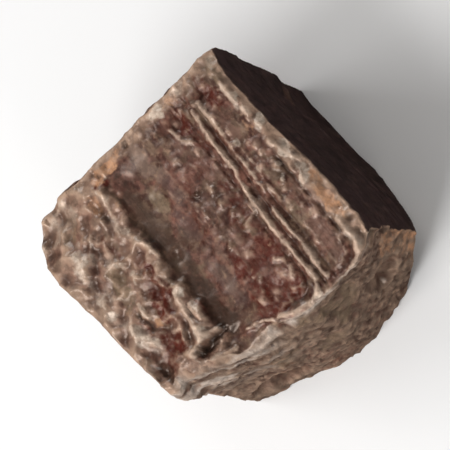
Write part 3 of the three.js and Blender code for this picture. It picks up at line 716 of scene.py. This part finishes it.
# Colours are linear; sizes of patterns are in mm
# painted light among these colours: the sheen and the mauve are painted sheen, the crest and bead
# colours painted highlights, the worn colour wear with painted highlight, the valley and far side
# colours painted shade, the stain colour stains and painted shade, the trough bed colour its own
# dark and painted shade, and the end's tone partly a painted reflection
zircon = {
    "dark": (0.04, 0.011, 0.007), "light": (0.145, 0.06, 0.041),
    "lightOlive": (0.125, 0.074, 0.047),
    "grain": (0.28, 0.17, 0.12), "red": (0.07, 0.011, 0.006), "pale": (0.52, 0.415, 0.33),
    "olive": (0.175, 0.12, 0.075), "amber": (0.46, 0.24, 0.13), "mauveSheen": (0.08, 0.043, 0.036),
    "rose": (0.165, 0.087, 0.064), "valleyShade": (0.055, 0.02, 0.013), "sheen": (0.16, 0.105, 0.078),
    "stainAndShade": (0.025, 0.012, 0.007), "farSideShade": (0.042, 0.022, 0.021), "wearAndHighlight": (0.37, 0.25, 0.175),
    "crest": (0.5, 0.36, 0.27), "bandTone": (0.27, 0.16, 0.112), "endToneAndReflection": (0.175, 0.118, 0.084),
    "ledge": (0.5, 0.42, 0.36), "mark": (0.4, 0.25, 0.185), "troughBedAndShade": (0.05, 0.026, 0.016),
    "fresh": (0.12, 0.062, 0.042), "rimTone": (0.33, 0.215, 0.15), "bead": (0.42, 0.27, 0.2),
    "knob": (0.2, 0.1, 0.078),
    "rough": 0.4, "ior": 1.95, "gleam": 0.05, "glaze": 0.4, "glazeRough": 0.28,
    "bump": 0.8, "bumpDeep": 0.06,
    # mottling: (size, the noise's level where it starts, the level where it is full)
    "hue": (2.6, 0.44, 0.56), "broad": (1.7, 0.38, 0.62), "fine": (0.6, 0.4, 0.62),
    "finest": (0.22, 0.35, 0.65), "flecks": (0.28, 0.57, 0.68), "pits": (0.4, 0.6, 0.7),
    "crumbs": (0.45, 0.42, 0.56), "strands": (0.35, 0.35, 0.65), "strandStretch": (0.15, 1, 1),
    # patches of tint, in the order they are laid: (tint, how much, how ragged)
    "patches": [("mauveSheen", 0.8, 1.6), ("sheen", 0.9, 1.2), ("rose", 0.85, 1.2), ("olive", 0.9, 2),
                ("red", 1.1, 2), ("amber", 1, 2)],
    "curls": {"Size mm": 1.9, "Stretch": (0.8, 1, 1), "Width": 0.05, "Amount": 0.42},
    "smallFacets": {"Size mm": 0.45},
    "largeFacets": {"Size mm": 1.0, "Stretch": (0.7, 1, 0.65)},
    "borderSize": 0.75,  # of the noise that breaks up the edges of patches
}


# each input of a node gets a plain value, or a link from another node's output
def fill(node, inputs):
    for slot, value in inputs.items():
        if isinstance(value, bpy.types.NodeSocket):
            node.id_data.links.new(value, node.inputs[slot])
        else:
            node.inputs[slot].default_value = value


# a node of a shader tree, with its settings made and its inputs filled
def addNode(tree, kind, inputs, **settings):
    node = tree.nodes.new("ShaderNode" + kind)
    for name, value in settings.items():
        setattr(node, name, value)
    fill(node, inputs)
    return node


# the result of one sum, a Math or a Vector Math node, and the outputs of a fractal noise
def mathNode(tree, operation, *values, clamp=False):
    inputs = dict(enumerate(values))
    return addNode(tree, "Math", inputs, operation=operation, use_clamp=clamp).outputs[0]


def vectorNode(tree, operation, *values):
    return addNode(tree, "VectorMath", dict(enumerate(values)), operation=operation).outputs[0]


def noiseNode(tree, **inputs):
    return addNode(tree, "TexNoise", inputs).outputs


# a value carried from one pair of levels to 0 and 1, or the pair given, eased in between
def levelNode(tree, inputs):
    return addNode(tree, "MapRange", inputs, interpolation_type="SMOOTHSTEP").outputs[0]


# a shader node group with named inputs, each with its first value, and named outputs, all numbers
def newGroup(name, inputs, outputs):
    group = bpy.data.node_groups.new(name, "ShaderNodeTree")
    for label, value in inputs.items():
        kind = "NodeSocketVector" if isinstance(value, tuple) else "NodeSocketFloat"
        group.interface.new_socket(label, in_out="INPUT", socket_type=kind).default_value = value
    for label in outputs:
        group.interface.new_socket(label, in_out="OUTPUT", socket_type="NodeSocketFloat")
    given = group.nodes.new("NodeGroupInput").outputs
    return group, given, group.nodes.new("NodeGroupOutput")


# object coordinates times the group's stretch, and how many of its patterns go into a metre
def patternPlace(group, given):
    place = addNode(group, "TexCoord", {}).outputs["Object"]
    return (vectorNode(group, "MULTIPLY", place, given["Stretch"]),
            mathNode(group, "DIVIDE", 1 / mm, given["Size mm"]))


# mottling: fractal noise on object coordinates, sharpened to a mask between two levels
def mottleGroup():
    group, given, out = newGroup(
        "mineral mottle", {"Size mm": 1.0, "Stretch": (1, 1, 0.65), "From": 0.4, "To": 0.6},
        ["Mask", "Noise"])
    place, perMetre = patternPlace(group, given)
    noise = noiseNode(group, Vector=place, Scale=perMetre, Detail=3, Roughness=0.55,
                      Distortion=0.25)["Fac"]
    mask = levelNode(group, {"Value": noise, "From Min": given["From"], "From Max": given["To"]})
    fill(out, {"Mask": mask, "Noise": noise})
    return group


# a painted mask with its border broken up: the mask plus the noise's distance from its middle times
# the raggedness, sharpened. Where the noise is strong, a little shows past the painted edge
def raggedGroup():
    group, given, out = newGroup(
        "ragged patch", {"Mask": 0.0, "Noise": 0.5, "Raggedness": 2.4}, ["Mask"])
    centred = mathNode(group, "SUBTRACT", given["Noise"], 0.5)
    pushed = mathNode(group, "MULTIPLY_ADD", centred, given["Raggedness"], given["Mask"])
    fill(out, {"Mask": levelNode(group, {"Value": pushed, "From Min": 0.2, "From Max": 0.95})})
    return group


# fine curling marks: the thin band where a noise crosses its middle value, times a second noise
# that breaks it into short pieces
def marksGroup():
    group, given, out = newGroup(
        "curling marks", {"Size mm": 1.0, "Stretch": (1, 1, 1), "Width": 0.03, "Amount": 0.5},
        ["Mask"])
    place, perMetre = patternPlace(group, given)
    noise = noiseNode(group, Vector=place, Scale=perMetre, Detail=3, Roughness=0.5,
                      Distortion=0.6)["Fac"]
    away = mathNode(group, "ABSOLUTE", mathNode(group, "SUBTRACT", noise, 0.5))
    line = levelNode(group, {"Value": away, "From Min": 0, "From Max": given["Width"],
                             "To Min": 1, "To Max": 0})
    aside = vectorNode(group, "ADD", place, (0.031, 0.017, 0.023))
    breaks = noiseNode(group, Vector=aside, Scale=perMetre, Detail=2, Distortion=0.3)["Fac"]
    least = mathNode(group, "SUBTRACT", 1, given["Amount"])
    kept = levelNode(group, {"Value": breaks, "From Min": least,
                             "From Max": mathNode(group, "ADD", least, 0.08)})
    fill(out, {"Mask": mathNode(group, "MULTIPLY", line, kept)})
    return group


# small crystal faces: cells on object coordinates nudged by noise, each a plane with its own tilt:
# its height is a random direction times the way from the cell's middle. Each has its own tone
def facetGroup():
    group, given, out = newGroup(
        "crystal facets", {"Size mm": 0.4, "Stretch": (1, 1, 0.65)}, ["Height", "Tone"])
    place, perMetre = patternPlace(group, given)
    scaled = addNode(group, "VectorMath", {0: place, "Scale": perMetre}, operation="SCALE")
    scaled = scaled.outputs[0]
    noise = noiseNode(group, Vector=scaled, Scale=1.4, Detail=2)["Color"]
    nudged = vectorNode(group, "MULTIPLY_ADD", noise, (0.9, 0.9, 0.9), scaled)
    cells = addNode(group, "TexVoronoi", {"Vector": nudged, "Scale": 1}, feature="F1").outputs
    fromMiddle = vectorNode(group, "SUBTRACT", nudged, cells["Position"])
    tilt = vectorNode(group, "SUBTRACT", cells["Color"], (0.5, 0.5, 0.5))
    height = addNode(group, "VectorMath", {0: fromMiddle, 1: tilt}, operation="DOT_PRODUCT")
    tone = addNode(group, "SeparateColor", {0: cells["Color"]})
    fill(out, {"Height": height.outputs["Value"], "Tone": tone.outputs[0]})
    return group


# the crystal's finish: colours laid over one another by masks and mottling, among them painted
# shade, highlights and sheen, a dull base under a thin glaze, and a bump of mottling, striae and
# small crystal faces
def zirconMaterial():
    z = zircon
    mottle, facet, ragged, marks = mottleGroup(), facetGroup(), raggedGroup(), marksGroup()
    made = bpy.data.materials.new("rough zircon")
    made.use_nodes = True
    tree = made.node_tree
    shader = tree.nodes["Principled BSDF"]

    def sums(operation):
        return lambda a, b, clamp=False: mathNode(tree, operation, a, b, clamp=clamp)

    times, plus, less, most = map(sums, ("MULTIPLY", "ADD", "SUBTRACT", "MAXIMUM"))

    # a Mix node takes its colours at inputs 6 and 7, and gives their mixture at output 2
    def blend(amount, base, colour, how="MIX"):
        base, colour = ((*c, 1) if isinstance(c, tuple) else c for c in (base, colour))
        return addNode(tree, "Mix", {0: amount, 6: base, 7: colour}, data_type="RGBA",
                       blend_type=how).outputs[2]

    def placed(group, inputs):
        return addNode(tree, "Group", inputs, node_tree=group).outputs

    def mottled(name, **more):
        size, start, end = z[name]
        return placed(mottle, {"Size mm": size, "From": start, "To": end, **more})["Mask"]

    found = {}

    def mask(name):
        if name not in found:
            found[name] = addNode(tree, "Attribute", {}, attribute_name=name).outputs["Fac"]
        return found[name]

    broad, fine, crumbs, pits = map(mottled, ("broad", "fine", "crumbs", "pits"))
    strands = mottled("strands", Stretch=z["strandStretch"])
    curls = placed(marks, z["curls"])["Mask"]
    small, large = placed(facet, z["smallFacets"]), placed(facet, z["largeFacets"])
    border = placed(mottle, {"Size mm": z["borderSize"]})["Noise"]
    flicker = plus(times(mottled("finest"), 0.25), 0.75)

    # how much of a tint shows: its mask with a ragged border, flickering with the finest mottling
    def patch(name, strength, raggedness):
        inputs = {"Mask": mask(name), "Noise": border, "Raggedness": raggedness}
        return times(placed(ragged, inputs)[0], times(flicker, strength), True)

    speckled = plus(times(crumbs, 0.45), plus(times(broad, 0.2), 0.25))
    lumps = times(broad, plus(times(fine, 0.5), 0.5))
    lumpy = times(most(mask("band"), mask("rim")), less(1, times(mask("olive"), 0.7)))
    # tall and deep: how far a place stands over or lies under its broad shape, for painted light on
    # high places and painted shade in low ones
    tall, deep = times(mask("low"), -1, True), times(mask("low"), 1, True)
    upper = less(1, most(mask("end"), mask("far")))
    paleness = times(patch("pale", 1, 1.2), plus(times(crumbs, 0.4), 0.6))
    # pale patches lighter on high places and darker in low ones: painted light and shade
    paleness = times(paleness, plus(less(times(tall, 0.8), deep), 0.75), True)
    hollow = mask("hollow")
    bare = less(0.75, plus(times(fine, 0.3), times(mask("end"), 0.35)))
    lighter = blend(mottled("hue"), z["light"], z["lightOlive"])
    colour = blend(plus(times(broad, 0.4), times(fine, 0.6), True), z["dark"], lighter)
    layers = [  # how much of each colour, each laid over those before it
        # the end's brown, made lighter to stand in for the floor's reflection: partly a painted
        # reflection
        (times(mask("end"), speckled), "endToneAndReflection"),
        (times(mask("speck"), plus(times(fine, 0.5), 0.2)), "wearAndHighlight"),
        (times(times(mask("end"), pits), 0.7), "dark"),
        (times(mask("ledge"), plus(times(fine, 0.4), 0.5)), "ledge"),
        (times(mask("band"), plus(times(lumps, 0.75), 0.2)), "bandTone"),
        (times(mask("rim"), plus(times(lumps, 0.6), 0.35)), "rimTone"),
        # lighter on the high lumps: painted light, partly wear
        (times(times(tall, lumpy), 0.6), "wearAndHighlight"),
        # darker in the low places between the band's and rim's lumps: painted shade
        (times(times(deep, lumpy), 0.65), "valleyShade"),
        # the patches, among them the slope's painted sheen
        *((patch(*tint), tint[0]) for tint in z["patches"]),
        (times(mottled("flecks"), 0.15), "grain"),
        (times(curls, times(upper, 0.12)), "mark"),
        (times(mask("knob"), less(0.85, times(mask("red"), 0.5))), "knob"),
        # the beads' pale tops: painted highlight
        (times(mask("bead"), 0.75), "bead"),
        (paleness, "pale"),
        (times(pits, 0.25), "stainAndShade"),
        # lighter where the surface bulges over its softened shape: painted highlight, partly wear
        (times(hollow, times(plus(times(fine, 0.6), 0.4), -0.5), True), "wearAndHighlight"),
        # painted highlight along the ridge crests
        (patch("crest", 0.75, 1.8), "crest"),
        # darker in hollows under the softened shape: painted shade, partly dirt
        (times(hollow, 0.4, True), "stainAndShade"),
        # darker along the trough's floor: painted shade, partly its own dark colour
        (patch("trough", 0.9, 1.2), "troughBedAndShade"),
        # the dark patches: painted shade in pits, the slot and the trough
        (patch("dark", 0.75, 2), "stainAndShade"),
        # painted shade in the groove beds and the slot
        (times(mask("bed"), 0.4, True), "stainAndShade"),
        # the far face made darker all over: painted shade
        (times(mask("far"), plus(times(fine, -0.12), 0.98), True), "farSideShade"),
        (times(mask("fresh"), bare), "fresh"),
    ]
    for amount, name in layers:
        colour = blend(amount, colour, z[name])
    tone = plus(times(small["Tone"], 0.3), times(large["Tone"], 0.3))
    colour = blend(1, colour, plus(tone, 0.7), "MULTIPLY")

    rough = plus(times(small["Tone"], 0.15), z["rough"])
    rough = less(rough, times(mask("bead"), 0.05))
    for name, more in (("pale", 0.15), ("end", 0.5), ("far", 0.6)):
        rough = plus(rough, times(mask(name), more))
    rough = less(rough, times(mask("red"), 0.05), True)
    glaze = less(z["glaze"], times(most(mask("red"), mask("sheen")), 0.22), True)

    striped = times(strands, less(1, most(mask("end"), mask("band"))))
    height = plus(times(fine, 0.5), times(striped, 0.25))
    height = plus(height, times(curls, 0.2))
    height = plus(height, times(small["Height"], 0.6))
    height = plus(height, times(large["Height"], 2.5))
    height = times(height, less(1, times(most(mask("mauveSheen"), mask("sheen")), 0.7), True))
    bump = addNode(tree, "Bump", {"Strength": z["bump"], "Distance": z["bumpDeep"] * mm,
                                  "Height": height})
    fill(shader, {
        "Base Color": colour, "Roughness": rough, "Normal": bump.outputs["Normal"],
        "IOR": z["ior"], "Specular IOR Level": z["gleam"],
        "Coat Weight": glaze, "Coat Roughness": z["glazeRough"], "Coat IOR": z["ior"],
    })
    print("material: rough zircon")
    return made


# The camera looks down on the striated face from the far, rough-ended corner, rolled with it
look = {
    "right": (0.612, 0.690, -0.387), "up": (-0.732, 0.679, 0.053), "back": (0.299, 0.251, 0.9205),
    "wide": 33.0, "away": 600.0, "middle": (2.156, -0.088),  # mm, the middle across and up
    "sensor": 36,
}


# a long lens, as long as the sensor is wide times how many view widths away the camera stands
def makeCamera():
    right, up, back = (Vector(look[k]).normalized() for k in ("right", "up", "back"))
    centre = Vector(block["toOrigin"]) + right * look["middle"][0] + up * look["middle"][1]
    data = bpy.data.cameras.new("camera")
    data.sensor_width = look["sensor"]
    data.lens = data.sensor_width * look["away"] / look["wide"]
    camera = addObject("camera", data)
    place = Matrix.Translation((centre + back * look["away"]) * mm)
    camera.matrix_world = place @ Matrix((right, up, back)).transposed().to_4x4()
    bpy.context.scene.camera = camera
    print("camera set")


# direction from the crystal, distance and size in mm, watts and colour; a lamp that gives "light"
# has no reflection of its own, and one that gives "glints" shows only as a reflection
lamps = {
    "key": ((0.25, -0.62, 0.74), 420, 240, 1.6, (1, 1, 1), "light"),
    "side": ((-0.5, -0.6, 0.62), 500, 260, 0.8, (1, 1, 1), "light"),
    "shine": ((0.2, -0.62, 0.76), 420, 200, 1, (1, 0.84, 0.73), "glints"),
    "sheen": ((-0.55, -0.2, 0.81), 500, 110, 0.3, (1, 0.84, 0.75), "glints"),
    "end": ((0.92, 0.02, 0.38), 450, 160, 0.35, (1, 0.94, 0.88), "both"),
    "behind": ((-0.93, 0.25, 0.27), 450, 160, 0.5, (1, 0.94, 0.88), "both"),
}
surroundings = {"worldStrength": 0.36, "floorHalf": 1.5, "floorTone": 0.8, "floorRough": 0.7}


# square lamps that face the crystal, and an even white world that no gloss shows
def makeLights():
    for name, (toLamp, away, size, watts, colour, gives) in lamps.items():
        way = Vector(toLamp).normalized()
        data = bpy.data.lights.new(name, "AREA")
        data.size = size * mm
        data.energy = watts
        data.color = colour
        light = addObject(name, data)
        light.visible_glossy = gives != "light"
        light.visible_diffuse = gives != "glints"
        light.location = way * away * mm
        light.rotation_mode = "QUATERNION"
        light.rotation_quaternion = way.to_track_quat("Z", "Y")
    world = bpy.data.worlds.new("studio")
    bpy.context.scene.world = world
    world.use_nodes = True
    strength = surroundings["worldStrength"]
    fill(world.node_tree.nodes["Background"], {"Color": (1, 1, 1, 1), "Strength": strength})
    world.cycles_visibility.glossy = False
    bpy.context.scene.view_settings.view_transform = "Standard"
    print("lights set")


# a pale square floor under the crystal, in metres
def makeFloor():
    half, tone = surroundings["floorHalf"], surroundings["floorTone"]
    paint = bpy.data.materials.new("pale floor")
    paint.use_nodes = True
    fill(paint.node_tree.nodes["Principled BSDF"],
         {"Base Color": (tone, tone, tone, 1), "Roughness": surroundings["floorRough"]})
    mesh = bpy.data.meshes.new("floor")
    corners = [(-half, -half, 0), (half, -half, 0), (half, half, 0), (-half, half, 0)]
    mesh.from_pydata(corners, [], [(0, 1, 2, 3)])
    mesh.materials.append(paint)
    floor = addObject("floor", mesh)
    floor.visible_glossy = False
    print("floor laid")


makeCamera()
makeLights()
makeFloor()
crystal = makeCrystal()
crystal.data.materials.append(zirconMaterial())
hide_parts("zircon_crystal")
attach(crystal, "root")
